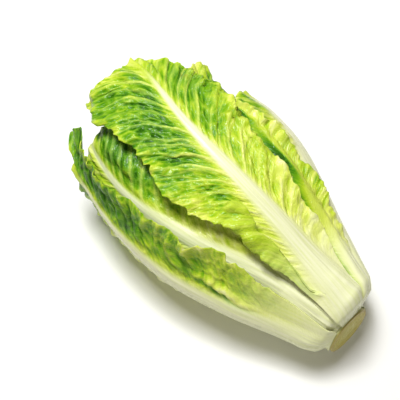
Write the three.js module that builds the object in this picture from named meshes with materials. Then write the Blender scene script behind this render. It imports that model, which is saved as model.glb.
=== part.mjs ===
// A romaine lettuce head, lying on its side as cut: a short solid stem with a flat cut butt, and
// nineteen separate leaves nested round it. Units are millimetres, +Z is up and the head lies along
// X, with the cut butt at -X and the leaf tips at +X.
//
// Every leaf is a curved blade over the axis of the head. A point of a leaf has a distance s along
// the axis from the cut, an angle round the axis (0 is straight up, positive towards +Y), and a
// radius. The radius of a leaf is worked out from the leaves that lie inside it, so each leaf lies
// over the ones within it and never runs through them.
import * as THREE from "three";
import { mergeVertices } from "three/addons/utils/BufferGeometryUtils.js";

// ---------------------------------------------------------------- driving dimensions
// half the width of the head at distances from the cut butt
const PROFILE = [
  [0, 20], [5, 27], [12, 33.5], [24, 38.5], [40, 44.5], [75, 58], [115, 70], [150, 73.5], [185, 71.5],
  [215, 64], [240, 50], [262, 33],
];
// the +Y side is narrower than that by the neck and wider by the belly, by these shares
const PLUS_SIDE = { neck: 0.86, belly: 1.01 };
const TOP_HEIGHT = 0.79; // the head's upper half, as a share of its half width
const BOTTOM_HEIGHT = 0.7; // its lower half, which its weight presses flatter
const BOTTOM_SQUARENESS = 2.5;
const ROUND_NECK_LENGTH = 70; // the head is round at the neck and takes its flatter section by here

const BUTT_RADIUS = 19.5; // cut end of the stem
const BUTT_LENGTH = 8; // straight part of the stem, before it tapers inside the head
const CUT_SLANT = 16; // degrees that the knife cut leans, so that its face looks a little upwards
const CUT_OUT = 2; // and the middle of the cut face stands out by this much
const STEM_LENGTH = 52;
const STEM_TIP_RADIUS = 4;
const HEART_RADIUS = 5; // hollow left along the axis, above the stem
const STEM_SIDES = 28;

const BLADE = 1.0; // thickness of a blade away from its rib
const BASE_BLADE = 1.7; // and where it leaves the stem
const CLEARANCE = 0.8; // least gap between two leaves, or a leaf and the stem
const ROOT_LENGTH = 6; // a leaf thickens and runs out from the stem to its place over this length
const ROOT_EDGE = 0.8; // thickness of the very base of a leaf
const LEAN = 8; // degrees that the tips stand higher than the butt
const REST_DEPTH = 31.8; // the surface that the head lies on is this far below the butt's middle

// a midrib is halfWidth wide each way and depth deep at the base, and thins towards the tip
const OUTER_RIB = { halfWidth: 19, tipHalfWidth: 3, depth: 5.2, tipDepth: 0.4 };
const FLAT_RIB = { halfWidth: 24, tipHalfWidth: 14, depth: 4.5, tipDepth: 1.2 };
const HEART_RIB = { halfWidth: 15, tipHalfWidth: 2, depth: 2.6, tipDepth: 0.3 };

// Outer leaves, from the outermost inwards. rib is the angle of the midrib at equal steps from base
// to tip. plus and minus are the angles from the rib to the margin on its +angle and -angle sides.
// tip says how far short of the tip each margin ends, as a share of the length. flare lifts a margin
// or the tip off the leaves below, in millimetres.
const OUTER_LEAVES = [
  { name: "leaf_01", start: 5, length: 243, rib: [80, 80, 83, 86, 88], plus: [50, 56, 60, 57, 50],
    minus: [42, 41, 39, 42, 33.5, 31.5, 28.5, 27, 38], tip: { plus: 0.25, minus: 0.03 },
    flare: { plus: 0, minus: 6, tip: 1.5 }, ruffle: 4.5, waves: 15, turn: 0.4, rows: 22, columns: 10 },
  { name: "leaf_02", start: 5, length: 250, rib: [-7, -5.5, -3, -7, -27],
    plus: [29, 27.5, 30, 27.5, 39, 41.5, 40, 55, 86], minus: [16, 24, 29, 28.5, 33, 33, 38, 37, 30],
    tip: { plus: 0, minus: 0.26 }, flare: { plus: 5, minus: 3, tip: 3 }, ruffle: 4.5, waves: 17,
    turn: 1.9, rows: 22, columns: 10 },
  { name: "leaf_03", start: 6.3, length: 227, rib: [176, 176, 177, 178, 178],
    plus: [44, 48, 50, 48, 42], minus: [44, 48, 50, 48, 42], tip: { plus: 0.2, minus: 0.2 },
    flare: { plus: 0, minus: 0, tip: 6 }, ruffle: 4.0, waves: 15, turn: 3.1, rows: 20, columns: 8 },
  { name: "leaf_04", start: 6.3, length: 184, rib: [-35, -42, -44.5, -47, -48],
    plus: [30, 34, 38, 36, 30], minus: [14, 17, 15.5, 9, 2], tip: { plus: 0.15, minus: 0.03 },
    flare: { plus: 0, minus: 1.5, tip: 1 }, ruffle: 4.5, waves: 19, turn: 0.9, rows: 22, columns: 10 },
  { name: "leaf_05", start: 7.6, length: 177, rib: [-76, -76, -77, -77, -70],
    plus: [34, 36, 42, 42, 40], minus: [38, 44, 46, 44, 40], tip: { plus: 0.2, minus: 0.2 },
    flare: { plus: 0, minus: 0, tip: 0 }, ruffle: 4.0, waves: 15, turn: 2.6, rows: 22, columns: 10,
    ribShape: FLAT_RIB },
  { name: "leaf_06", start: 8.9, length: 221, rib: [-124, -128, -131, -132, -133],
    plus: [42, 45, 46, 44, 42], minus: [42, 45, 46, 44, 42], tip: { plus: 0.2, minus: 0.2 },
    flare: { plus: 0, minus: 0, tip: 4 }, ruffle: 4.0, waves: 15, turn: 5.0, rows: 20, columns: 8 },
  { name: "leaf_07", start: 7.6, length: 221, rib: [29, 39, 52, 61.5, 64], plus: [34, 36, 32, 26, 24],
    minus: [36, 46, 56, 58, 56], tip: { plus: 0.2, minus: 0.06 },
    flare: { plus: 0, minus: 0, tip: 1 }, ruffle: 3.0, waves: 15, turn: 4.2, rows: 22, columns: 10 },
  { name: "leaf_08", start: 7.8, length: 217, rib: [126, 129, 131, 133, 134],
    plus: [42, 45, 46, 44, 42], minus: [42, 45, 46, 44, 42], tip: { plus: 0.2, minus: 0.2 },
    flare: { plus: 0, minus: 0, tip: 6 }, ruffle: 4.0, waves: 15, turn: 1.3, rows: 20, columns: 8 },
  { name: "leaf_09", start: 9.5, length: 212, rib: [-33, -36, -42, -49, -57],
    plus: [36, 40, 44, 44, 40], minus: [32, 36, 38, 38, 30], tip: { plus: 0.1, minus: 0.06 },
    flare: { plus: 0, minus: 5, tip: 3 }, ruffle: 5.0, waves: 19, turn: 2.2, rows: 20, columns: 8 },
];
const OUTER_AIRY = 0.35; // gap that an outer leaf keeps, as a share of that between heart leaves

// Heart leaves, which follow each other up the stem by the golden angle and get shorter inwards.
const HEART_LEAVES = 10;
const GOLDEN_ANGLE = 137.508;
const HEART = { firstAngle: 70, firstStart: 11, lastStart: 42, firstTip: 224, lastTip: 170,
  spread: 54, tip: { plus: 0.2, minus: 0.2 }, ruffle: 3, waves: 13, rows: 14, columns: 8 };

// ---------------------------------------------------------------- small helpers
const radians = (degrees) => (degrees * Math.PI) / 180;
const mix = (a, b, share) => a + (b - a) * share;
const clamp01 = (x) => Math.min(1, Math.max(0, x));
// 0 up to the value from, 1 past the value to, and a smooth rise between them
const rise = (x, from, to) => {
  const t = clamp01((x - from) / (to - from));
  return t * t * (3 - 2 * t);
};
const wrapped = (angle) => Math.atan2(Math.sin(angle), Math.cos(angle));

// a smooth curve through points [x, value], in rising order of x
function through(points, x) {
  const last = points.length - 1;
  const value = clamp01((x - points[0][0]) / (points[last][0] - points[0][0]));
  const at = mix(points[0][0], points[last][0], value);
  let i = 0;
  while (i < last - 1 && at > points[i + 1][0]) i += 1;
  const slope = (j) => {
    const before = points[Math.max(0, j - 1)];
    const after = points[Math.min(last, j + 1)];
    return (after[1] - before[1]) / (after[0] - before[0]);
  };
  const [[x0, y0], [x1, y1]] = [points[i], points[i + 1]];
  const run = x1 - x0;
  const t = (at - x0) / run;
  return (
    y0 * (1 + 2 * t) * (1 - t) ** 2 + y1 * t * t * (3 - 2 * t) +
    run * t * (1 - t) * (slope(i) * (1 - t) - slope(i + 1) * t)
  );
}
// a quantity given at equal steps from the base to the tip of a leaf, at a share u of its length
const along = (values, u) => through(values.map((value, i) => [i / (values.length - 1), value]), u);

// ---------------------------------------------------------------- the head as a whole
function heartLeaf(i) {
  const share = i / (HEART_LEAVES - 1);
  const start = mix(HEART.firstStart, HEART.lastStart, share);
  return {
    ...HEART,
    name: "leaf_" + String(OUTER_LEAVES.length + i + 1).padStart(2, "0"),
    start,
    length: mix(HEART.firstTip, HEART.lastTip, share) - start,
    rib: [HEART.firstAngle + GOLDEN_ANGLE * i, HEART.firstAngle + GOLDEN_ANGLE * i],
    plus: [HEART.spread * 0.8, HEART.spread, HEART.spread],
    minus: [HEART.spread * 0.8, HEART.spread, HEART.spread],
    flare: { plus: 0, minus: 0, tip: 0 },
    turn: i * 1.7,
    ribShape: HEART_RIB,
    airy: 1,
  };
}

const LEAVES = [
  ...OUTER_LEAVES.map((leaf) => ({ ribShape: OUTER_RIB, airy: OUTER_AIRY, ...leaf })),
  ...Array.from({ length: HEART_LEAVES }, (_, i) => heartLeaf(i)),
];

function stemRadius(s) {
  const share = clamp01((s - BUTT_LENGTH) / (STEM_LENGTH - BUTT_LENGTH));
  return mix(STEM_TIP_RADIUS, BUTT_RADIUS, Math.sqrt(1 - share * share));
}

const coreRadius = (s) => Math.max(stemRadius(s), HEART_RADIUS) + CLEARANCE;

// the radius of the whole head, without the ribs that stand out of it
function headRadius(angle, s) {
  const flatness = rise(s, 0, ROUND_NECK_LENGTH);
  const upper = Math.cos(angle) > 0;
  const height = mix(1, upper ? TOP_HEIGHT : BOTTOM_HEIGHT, flatness);
  const power = mix(2, upper ? 2 : BOTTOM_SQUARENESS, flatness);
  const side = Math.sin(angle) > 0 ? mix(PLUS_SIDE.neck, PLUS_SIDE.belly, flatness) : 1;
  const across = (Math.abs(Math.sin(angle)) / side) ** power;
  const upright = (Math.abs(Math.cos(angle)) / height) ** power;
  return through(PROFILE, s) * (across + upright) ** (-1 / power);
}

// the radius at which the surface that the head lies on is met
function restRadius(angle, s) {
  const below = -Math.cos(angle) * Math.cos(radians(LEAN));
  return below > 0.1 ? (REST_DEPTH + s * Math.sin(radians(LEAN))) / below : Infinity;
}

// ---------------------------------------------------------------- one leaf's place in the head
const TIP_POWER = 2.6; // how square the end of a leaf is
const marginEnd = (leaf, v) =>
  1 - (v > 0 ? leaf.tip.plus : leaf.tip.minus) * Math.min(1, Math.abs(v)) ** TIP_POWER;

// where (angle, s) is on a leaf: u from base 0 to tip 1, v from margin -1 over the rib 0 to margin 1
function onLeaf(leaf, angle, s) {
  const u = clamp01((s - leaf.start) / leaf.length);
  const fromRib = wrapped(angle - radians(along(leaf.rib, u)));
  const v = fromRib / radians(along(fromRib > 0 ? leaf.plus : leaf.minus, u));
  return { u, v, fromRib, pastTip: s - leaf.start - leaf.length * marginEnd(leaf, v) };
}

// 1 where the leaf lies, falling to 0 a little way past its margins, its tip and its base
function layer(leaf, at, s) {
  return (
    (1 - rise(Math.abs(at.v), 1.1, 1.45)) *
    (1 - rise(at.pastTip, 9, 40)) *
    rise(s, leaf.start - 9, leaf.start)
  );
}

// how far the midrib stands out from the blade, or with a berth, how far to keep clear of it
function ribHeight(leaf, at, s, berth = 1) {
  const { halfWidth, tipHalfWidth, depth, tipDepth } = leaf.ribShape;
  const half = berth * mix(tipHalfWidth, halfWidth, (1 - at.u) ** 1.25);
  const reach = (Math.abs(at.fromRib) * through(PROFILE, s)) / half;
  const tall = mix(tipDepth, depth, (1 - at.u) ** 1.3) * mix(0.35, 1, rise(s - leaf.start, 0, 10));
  return tall * Math.max(0, 1 - reach * reach) ** 1.5 * (1 - rise(at.pastTip, 0, 12));
}

const bladeThickness = (at) => mix(BASE_BLADE, BLADE, rise(at.u, 0, 0.35));

const HOLLOW = 0.3; // room kept clear on the axis, in gaps between leaves
const TIP_HOLLOW = 3.5; // and more of it towards the tips, where the leaves stand apart

const RIB_BERTH = 1.5;

// the radius that leaf number k lies at, the gap to the next leaf, and how bare its surface is
function bedOf(k, angle, s) {
  const hollow = HOLLOW + TIP_HOLLOW * rise(s, 150, 250);
  let gaps = hollow;
  let solid = 0;
  let standing = 0; // how far the rib of the outermost leaf stands out
  let bare = 1;
  let bareHere = 1;
  const inside = [];
  LEAVES.forEach((leaf, j) => {
    const at = onLeaf(leaf, angle, s);
    const share = layer(leaf, at, s);
    if (j === k) bareHere = bare;
    if (share === 0) return;
    const rib = ribHeight(leaf, at, s, RIB_BERTH);
    const blade = bladeThickness(at);
    gaps += leaf.airy * share * (1 - bare);
    solid += share * (blade + rib * (1 - bare));
    standing += share * bare * ribHeight(leaf, at, s);
    if (j > k) inside.push({ share, thickness: blade + rib, airy: leaf.airy });
    bare *= 1 - share;
  });
  const core = coreRadius(s);
  const outside = Math.min(headRadius(angle, s), restRadius(angle, s) - standing);
  const gap = Math.max(0, (outside - core - solid) / gaps);
  const gapOver = (airy) => Math.max(CLEARANCE, airy * gap);
  let radius = core + hollow * gap;
  inside.forEach(({ share, thickness, airy }) => {
    radius += share * (thickness + gapOver(airy));
  });
  return { radius, gap: gapOver(LEAVES[k].airy), bare: bareHere };
}

// ---------------------------------------------------------------- a leaf as a closed solid
// outward lift of the blade: raised margins and tip, and the ruffled edge
function liftOf(leaf, u, v, bed) {
  const margin = rise(Math.abs(v), 0.35, 1);
  const side = v > 0 ? leaf.flare.plus : leaf.flare.minus;
  const flare = side * margin * margin * rise(u, 0.12, 0.4) + leaf.flare.tip * rise(u, 0.72, 1) ** 2;
  const round = Math.atan2(v, 1.3 * (u - 0.5));
  const edge = Math.max(rise(Math.abs(v), 0.5, 1) * rise(u, 0.12, 0.4), rise(u, 0.8, 1));
  const wave = 0.5 + 0.5 * Math.sin(leaf.waves * round + leaf.turn);
  const covered = Math.min(leaf.ruffle, 0.45 * (bed.gap - CLEARANCE));
  return flare * bed.bare + mix(covered, leaf.ruffle, bed.bare) * edge * wave;
}

function leafPoint(k, u, v, outside) {
  const leaf = LEAVES[k];
  const s = leaf.start + leaf.length * u * marginEnd(leaf, v);
  const us = (s - leaf.start) / leaf.length;
  const angle = radians(along(leaf.rib, us) + v * along(v > 0 ? leaf.plus : leaf.minus, us));
  const bed = bedOf(k, angle, s);
  const root = rise(s - leaf.start, 0, ROOT_LENGTH);
  let radius = mix(coreRadius(s), bed.radius + liftOf(leaf, u, v, bed), root);
  if (outside) {
    const at = onLeaf(leaf, angle, s);
    radius += mix(ROOT_EDGE, bladeThickness(at) + ribHeight(leaf, at, s), root);
  }
  return new THREE.Vector3(s, radius * Math.sin(angle), radius * Math.cos(angle));
}

// rows are closer together at the base and the tip, and columns are closer together by the rib
const rowShare = (i, rows) => i / rows - 0.07 * Math.sin((2 * Math.PI * i) / rows);
const columnShare = (j, columns) => {
  const w = (2 * j) / columns - 1;
  return w * (0.65 + 0.35 * w * w);
};
const NOTCH = 0.965; // every second point of a margin is set in, which makes it toothed

function leafGeometry(k) {
  const { rows, columns } = LEAVES[k];
  const positions = [];
  const index = [];
  for (const outside of [false, true]) {
    for (let i = 0; i <= rows; i++) {
      for (let j = 0; j <= columns; j++) {
        const notch = i % 2 && (j === 0 || j === columns) ? NOTCH : 1;
        const v = columnShare(j, columns) * notch;
        positions.push(...leafPoint(k, rowShare(i, rows), v, outside));
      }
    }
  }
  const at = (side, i, j) => side * (rows + 1) * (columns + 1) + i * (columns + 1) + j;
  const quad = (a, b, c, d) => index.push(a, b, c, a, c, d);
  for (let i = 0; i < rows; i++) {
    for (let j = 0; j < columns; j++) {
      // both faces are split along the same diagonal
      quad(at(1, i, j), at(1, i + 1, j), at(1, i + 1, j + 1), at(1, i, j + 1));
      index.push(at(0, i, j), at(0, i + 1, j + 1), at(0, i + 1, j));
      index.push(at(0, i, j), at(0, i, j + 1), at(0, i + 1, j + 1));
    }
    quad(at(0, i, 0), at(0, i + 1, 0), at(1, i + 1, 0), at(1, i, 0));
    quad(at(0, i + 1, columns), at(0, i, columns), at(1, i, columns), at(1, i + 1, columns));
  }
  for (let j = 0; j < columns; j++) {
    quad(at(0, 0, j + 1), at(0, 0, j), at(1, 0, j), at(1, 0, j + 1));
    quad(at(0, rows, j), at(0, rows, j + 1), at(1, rows, j + 1), at(1, rows, j));
  }
  const geometry = new THREE.BufferGeometry();
  geometry.setAttribute("position", new THREE.Float32BufferAttribute(positions, 3));
  geometry.setIndex(index);
  return geometry;
}

// ---------------------------------------------------------------- the stem
function stemGeometry() {
  const steps = 7;
  const profile = [new THREE.Vector2(0, 0), new THREE.Vector2(BUTT_RADIUS, 0)];
  for (let i = 0; i <= steps; i++) {
    const s = mix(BUTT_LENGTH, STEM_LENGTH, Math.sin((Math.PI / 2) * (i / steps)));
    profile.push(new THREE.Vector2(stemRadius(s), s));
  }
  profile.push(new THREE.Vector2(0, STEM_LENGTH));
  const lathe = new THREE.LatheGeometry(profile, STEM_SIDES);
  lathe.deleteAttribute("normal");
  lathe.deleteAttribute("uv");
  lathe.rotateZ(-Math.PI / 2); // the lathe's own axis is Y, and the head's is X
  const { position } = lathe.attributes;
  for (let i = 0; i < position.count; i++) {
    const s = position.getX(i);
    const slant = Math.tan(radians(CUT_SLANT)) * position.getZ(i) - CUT_OUT;
    position.setX(i, s + slant * Math.max(0, 1 - s / BUTT_LENGTH));
  }
  return mergeVertices(lathe, 1e-4);
}

// ---------------------------------------------------------------- build, lean, rest on the surface
const skin = (color) => new THREE.MeshStandardMaterial({ color, roughness: 0.45, metalness: 0 });
const GREENS = { outer: skin(0x5f9a1c), heart: skin(0xb9cf5a), stem: skin(0xd9d6a0) };

const head = new THREE.Group();
function add(name, geometry, material) {
  const mesh = new THREE.Mesh(geometry, material);
  mesh.name = name;
  head.add(mesh);
}
add("stem", stemGeometry(), GREENS.stem);
LEAVES.forEach((leaf, k) =>
  add(leaf.name, leafGeometry(k), k < OUTER_LEAVES.length ? GREENS.outer : GREENS.heart));

// lean the head, so that its tips stand higher than its butt, and keep it on its resting surface
const lean = new THREE.Matrix4().makeRotationY(-radians(LEAN));
head.children.forEach(({ geometry }) => {
  geometry.applyMatrix4(lean);
  geometry.translate(0, 0, REST_DEPTH);
  const { position } = geometry.attributes;
  for (let i = 0; i < position.count; i++) position.setZ(i, Math.max(0, position.getZ(i)));
  geometry.computeBoundingBox();
});

// the origin is under the middle of the head, on the surface that it lies on
const middle = new THREE.Box3().setFromObject(head).getCenter(new THREE.Vector3());
head.children.forEach(({ geometry }) => geometry.translate(-middle.x, -middle.y, 0));

export default head;
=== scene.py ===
# %% [markdown]
# # A romaine lettuce head, leaf by leaf
#
# The head lies on its side, with its cut butt at -X and its leaf tips at +X. Each leaf is a slab
# that starts as a flat grid: across the grid runs v, from one margin (-1) over the midrib (0) to the
# other (1), and along it runs u, from the base (0) to the tip (1). A formula then carries every point
# of the grid to its place round the axis of the head, in the same place as the plain solids, and adds
# what they leave out: side veins, blisters, folds, fine frills and ragged margins.

import math

import bmesh
import bpy
import numpy as np
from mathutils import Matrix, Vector


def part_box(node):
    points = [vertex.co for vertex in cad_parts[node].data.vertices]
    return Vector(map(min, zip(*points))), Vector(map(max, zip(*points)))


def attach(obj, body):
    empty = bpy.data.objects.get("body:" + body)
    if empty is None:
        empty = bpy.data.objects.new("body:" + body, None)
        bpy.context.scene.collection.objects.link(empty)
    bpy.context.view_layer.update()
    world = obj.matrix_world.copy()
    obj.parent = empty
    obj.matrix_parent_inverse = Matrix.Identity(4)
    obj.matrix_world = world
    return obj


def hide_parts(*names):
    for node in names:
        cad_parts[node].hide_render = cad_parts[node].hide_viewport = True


MM = 0.001
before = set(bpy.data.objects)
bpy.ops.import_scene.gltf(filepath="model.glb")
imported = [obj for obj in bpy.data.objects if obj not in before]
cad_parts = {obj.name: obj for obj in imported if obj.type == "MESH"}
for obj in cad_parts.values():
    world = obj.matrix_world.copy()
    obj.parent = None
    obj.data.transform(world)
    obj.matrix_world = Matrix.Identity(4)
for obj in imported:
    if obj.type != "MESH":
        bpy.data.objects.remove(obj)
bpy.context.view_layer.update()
print("nodes:", sorted(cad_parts))

# %% [markdown]
# ## Camera
#
# The camera looks down over the butt, nearly from above. Its place is worked out from two angles and
# a distance, which is easier to adjust than a set of coordinates.

# %%
AZIMUTH = math.radians(225.4)
ELEVATION = math.radians(65)
DISTANCE = 0.6
LENS = 71.3
AIM = (0.0, -0.0006, 0.05)
AIM_RIGHT = -0.0217
AIM_UP = 0.0075

back = Vector((math.sin(AZIMUTH) * math.cos(ELEVATION),
               -math.cos(AZIMUTH) * math.cos(ELEVATION),
               math.sin(ELEVATION)))
right = Vector((0, 0, 1)).cross(back).normalized()
up = back.cross(right)
aim = Vector(AIM) + AIM_RIGHT * right + AIM_UP * up
camera_data = bpy.data.cameras.new("camera")
camera_data.lens = LENS
camera = bpy.data.objects.new("camera", camera_data)
camera.location = aim + DISTANCE * back
camera.rotation_euler = back.to_track_quat("Z", "Y").to_euler()
bpy.context.scene.collection.objects.link(camera)
bpy.context.scene.camera = camera
print("camera at", tuple(round(x, 3) for x in camera.location))

# %% [markdown]
# ## Floor and light
#
# A white floor and a soft light nearly straight above, a little towards the leaf tips. It lights the
# ribs at both sides and keeps the shade close under the head. A small light beside it makes the sharp
# glints on the blisters, and a weak low one keeps the near side clear. The world is pale and warm, so
# the shade is warm too. The floor is a plain sheet that glows a little, which keeps it white.

# %%
LIGHTS = {"key": {"place": (0.27, 0.0, 1.12), "size": 0.4, "power": 13.2},
          "glint": {"place": (0.3, -0.08, 1.1), "size": 0.16, "power": 2.4},
          "fill": {"place": (-0.6, 0.7, 0.4), "size": 0.7, "power": 1.2}}
WORLD_COLOUR = (1, 0.9, 0.56, 1)
WORLD_STRENGTH = 0.15
FLOOR_COLOUR = (0.86, 0.86, 0.86)
FLOOR_ROUGHNESS = 0.9
FLOOR_GLOW = 0.03
FLOOR_HALF = 6


def area_light(name, place, size, power):
    """A soft square light that points at the middle of the head."""
    data = bpy.data.lights.new(name, "AREA")
    data.size = size
    data.energy = power
    lamp = bpy.data.objects.new(name, data)
    lamp.location = place
    lamp.rotation_euler = (Vector(place) - Vector(AIM)).to_track_quat("Z", "Y").to_euler()
    bpy.context.scene.collection.objects.link(lamp)


def plain_material(name, colour, roughness):
    material = bpy.data.materials.new(name)
    material.use_nodes = True
    shader = material.node_tree.nodes["Principled BSDF"]
    shader.inputs["Base Color"].default_value = (*colour, 1)
    shader.inputs["Roughness"].default_value = roughness
    return material


for light_name, light in LIGHTS.items():
    area_light(light_name, **light)

world = bpy.data.worlds.new("studio")
world.use_nodes = True
world.node_tree.nodes["Background"].inputs["Color"].default_value = WORLD_COLOUR
world.node_tree.nodes["Background"].inputs["Strength"].default_value = WORLD_STRENGTH
bpy.context.scene.world = world
bpy.context.scene.view_settings.view_transform = "Standard"

floor_mesh = bmesh.new()
bmesh.ops.create_grid(floor_mesh, x_segments=1, y_segments=1, size=FLOOR_HALF)
floor_data = bpy.data.meshes.new("floor")
floor_mesh.to_mesh(floor_data)
floor_mesh.free()
floor_paper = plain_material("floor", FLOOR_COLOUR, FLOOR_ROUGHNESS)
floor_shader = floor_paper.node_tree.nodes["Principled BSDF"]
floor_shader.inputs["Emission Color"].default_value = (1, 1, 1, 1)
floor_shader.inputs["Emission Strength"].default_value = FLOOR_GLOW
floor_data.materials.append(floor_paper)
floor = bpy.data.objects.new("floor", floor_data)
bpy.context.scene.collection.objects.link(floor)
print("lights:", ", ".join(LIGHTS))

# %% [markdown]
# ## Sizes of the head
#
# All lengths are in millimetres until the last step. The profile gives half the width of the head at
# distances from the cut butt, and the other numbers say how that round outline is pressed flat.

# %%
PROFILE = [
    (0, 20), (5, 27), (12, 33.5), (24, 38.5), (40, 44.5), (75, 58), (115, 70), (150, 73.5),
    (185, 71.5), (215, 64), (240, 50), (262, 33),
]
PLUS_SIDE = {"neck": 0.86, "belly": 1.01}
TOP_HEIGHT = 0.79
BOTTOM_HEIGHT = 0.7
BOTTOM_SQUARENESS = 2.5
ROUND_NECK_LENGTH = 70

BUTT_RADIUS = 19.5
BUTT_LENGTH = 8
CUT_SLANT = math.radians(16)
CUT_OUT = 2
STEM_LENGTH = 52
STEM_TIP_RADIUS = 4
HEART_RADIUS = 5

BLADE = 1.0
BASE_BLADE = 1.7
CLEARANCE = 0.8
ROOT_LENGTH = 6
ROOT_EDGE = 0.8
LEAN = math.radians(8)
REST_DEPTH = 31.8
RIB_BERTH = 1.5
HOLLOW = 0.3
TIP_HOLLOW = 3.5
TIP_POWER = 2.6
OUTER_AIRY = 0.35
OUTER_RIB = {"half": 19, "tip_half": 3, "depth": 5.2, "tip_depth": 0.4}
FLAT_RIB = {"half": 24, "tip_half": 14, "depth": 4.5, "tip_depth": 1.2}
HEART_RIB = {"half": 15, "tip_half": 2, "depth": 2.6, "tip_depth": 0.3}

# %% [markdown]
# ## The outer leaves
#
# They come first, from the outermost inwards. `rib` is the angle of the midrib at equal steps from
# base to tip, where 0 is straight up and a plus angle leans to +Y. `plus` and `minus` are the angles
# from the rib to the two margins, and `tip` says how far short of the tip each margin ends. `flare`
# lifts the two margins and the tip off the leaves below, `bulge` the back of the leaf, and `ruffle`
# waves the margin, with `waves` round the leaf. `frill`, `veins` and `ragged` say how strong the fine
# frills, the side veins and the teeth are. `cuts` are torn notches in a margin: side, distance from
# the butt, half width and depth, and `tip_cut` takes a depth off the tip between two places across.
# `tones` says how dark each half is from base to tip, and `pale` how many millimetres the white of
# the rib spreads past it on each side. That spread shrinks towards the tip by the share `taper`, and
# the white ends between the two places of `rib_fade`. `grid` is the number of steps along and across.

# %%
HIDDEN_TONES = [0, 0.15, 0.4, 0.7, 0.9]
HIDDEN = dict(tip=(0.2, 0.2), ruffle=4.0, waves=15, ragged=0.8, grid=(170, 80), pale=(4, 4),
              tones=(HIDDEN_TONES, HIDDEN_TONES))
OUTER_LEAVES = [
    dict(name="leaf_01", start=5, length=243, rib=[80, 80, 83, 86, 88], plus=[50, 56, 60, 57, 50],
         minus=[42, 41, 39, 42, 33.5, 31.5, 28.5, 27, 38], tip=(0.25, 0.03), flare=(0, 6, 1.5),
         ruffle=4.5, waves=15, turn=0.4, ragged=1.0, grid=(260, 130), pale=(26, 0), rib_fade=(0.8, 0.97),
         tones=([0, 0.05, 0.1, 0.45, 1], [0, 0.38, 0.62, 1, 1]),
         cuts=[(-1, 118, 5, 4), (-1, 92, 6, 4), (-1, 152, 4, 3)], tip_cut=(-0.3, -0.16, 18),
         veins=0.3, frill=0.5),
    dict(name="leaf_02", start=5, length=250, rib=[-7, -5.5, -3, -7, -27],
         plus=[29, 27.5, 30, 27.5, 39, 41.5, 40, 55, 86], minus=[16, 24, 29, 28.5, 33, 33, 38, 37, 30],
         tip=(0, 0.26), flare=(5, 3, 3), ruffle=4.5, waves=17, turn=1.9, ragged=1.0,
         grid=(330, 140), pale=(0, 3), rib_fade=(0.8, 0.95), frill=0.6,
         tones=([0, 0.22, 0.5, 0.9, 0.62], [0, 0.16, 0.4, 0.7, 0.8]),
         cuts=[(-1, 203, 5, 5), (1, 176, 4, 3), (1, 138, 6, 4)]),
    dict(name="leaf_03", start=6.3, length=227, rib=[176, 176, 177, 178, 178],
         plus=[44, 48, 50, 48, 42], minus=[44, 48, 50, 48, 42], flare=(0, 0, 6), turn=3.1, **HIDDEN),
    dict(name="leaf_04", start=6.3, length=184, rib=[-35, -42, -44.5, -47, -48],
         plus=[30, 34, 38, 36, 30], minus=[14, 16.5, 13.5, 6.5, 1], tip=(0.15, 0.03), flare=(0, 4, 1),
         ruffle=4.5, waves=19, turn=0.9, ragged=1.4, grid=(220, 90), pale=(0, 0), rib_fade=(0.12, 0.35),
         veins=0.6, tones=([0, 0.3, 0.62, 0.92, 1], [0, 0.42, 0.66, 0.85, 0.9]), cuts=[(-1, 150, 5, 3)]),
    dict(name="leaf_05", start=7.6, length=177, rib=[-76, -76, -77, -77, -70],
         plus=[34, 36, 42, 42, 40], minus=[38, 44, 46, 44, 40], tip=(0.2, 0.2), flare=(0, 0, 0),
         ruffle=4.0, waves=15, turn=2.6, ragged=0.8, grid=(160, 90), pale=(24, 12), taper=0.55,
         ribs=FLAT_RIB, rib_fade=(0.9, 1), bulge=5, tip_cut=(-2, -1, 3),
         tones=([0, 0.03, 0.06, 0.2, 1], [0, 0.1, 0.35, 0.6, 1])),
    dict(name="leaf_06", start=8.9, length=221, rib=[-124, -128, -131, -132, -133],
         plus=[42, 45, 46, 44, 42], minus=[42, 45, 46, 44, 42], flare=(0, 0, 4), turn=5.0, **HIDDEN),
    # leaf_07's minus half is pale from a quarter to half way up. This is partly its own yellow green and
    # partly painted light that offsets the shade of the top leaf's margin.
    dict(name="leaf_07", start=7.6, length=221, rib=[29, 39, 52, 61.5, 64], plus=[34, 36, 32, 26, 24],
         minus=[36, 46, 56, 58, 56], tip=(0.2, 0.06), flare=(0, 0, 1), ruffle=3.0, waves=15,
         turn=4.2, ragged=0.8, grid=(240, 130), pale=(2, 3), veins=0.8, frill=0.5,
         tones=([0, 0.3, 0.55, 0.7, 0.5], [0, 0.1, 0.26, 0.8, 1])),
    dict(name="leaf_08", start=7.8, length=217, rib=[126, 129, 131, 133, 134],
         plus=[42, 45, 46, 44, 42], minus=[42, 45, 46, 44, 42], flare=(0, 0, 6), turn=1.3, **HIDDEN),
    dict(name="leaf_09", start=9.5, length=212, rib=[-33, -36, -42, -49, -57],
         plus=[36, 40, 44, 44, 40], minus=[32, 36, 38, 38, 30], tip=(0.1, 0.06), flare=(0, 8, 5),
         ruffle=5.0, waves=19, turn=2.2, ragged=1.4, grid=(160, 90), pale=(0, 0), rib_fade=(0.4, 0.7),
         tones=([0, 0.2, 0.4, 0.6, 0.75], [0, 0.2, 0.4, 0.7, 0.75])),
]

# %% [markdown]
# ## The heart leaves
#
# Inside, new leaves follow each other round the stem by the golden angle, each shorter and paler
# than the last. One function makes them all.

# %%
HEART_LEAVES = 10
GOLDEN_ANGLE = 137.508
HEART = {"first_angle": 70, "first_start": 11, "last_start": 42, "first_tip": 224, "last_tip": 170,
         "spread": 54, "tone": 0.4}


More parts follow.
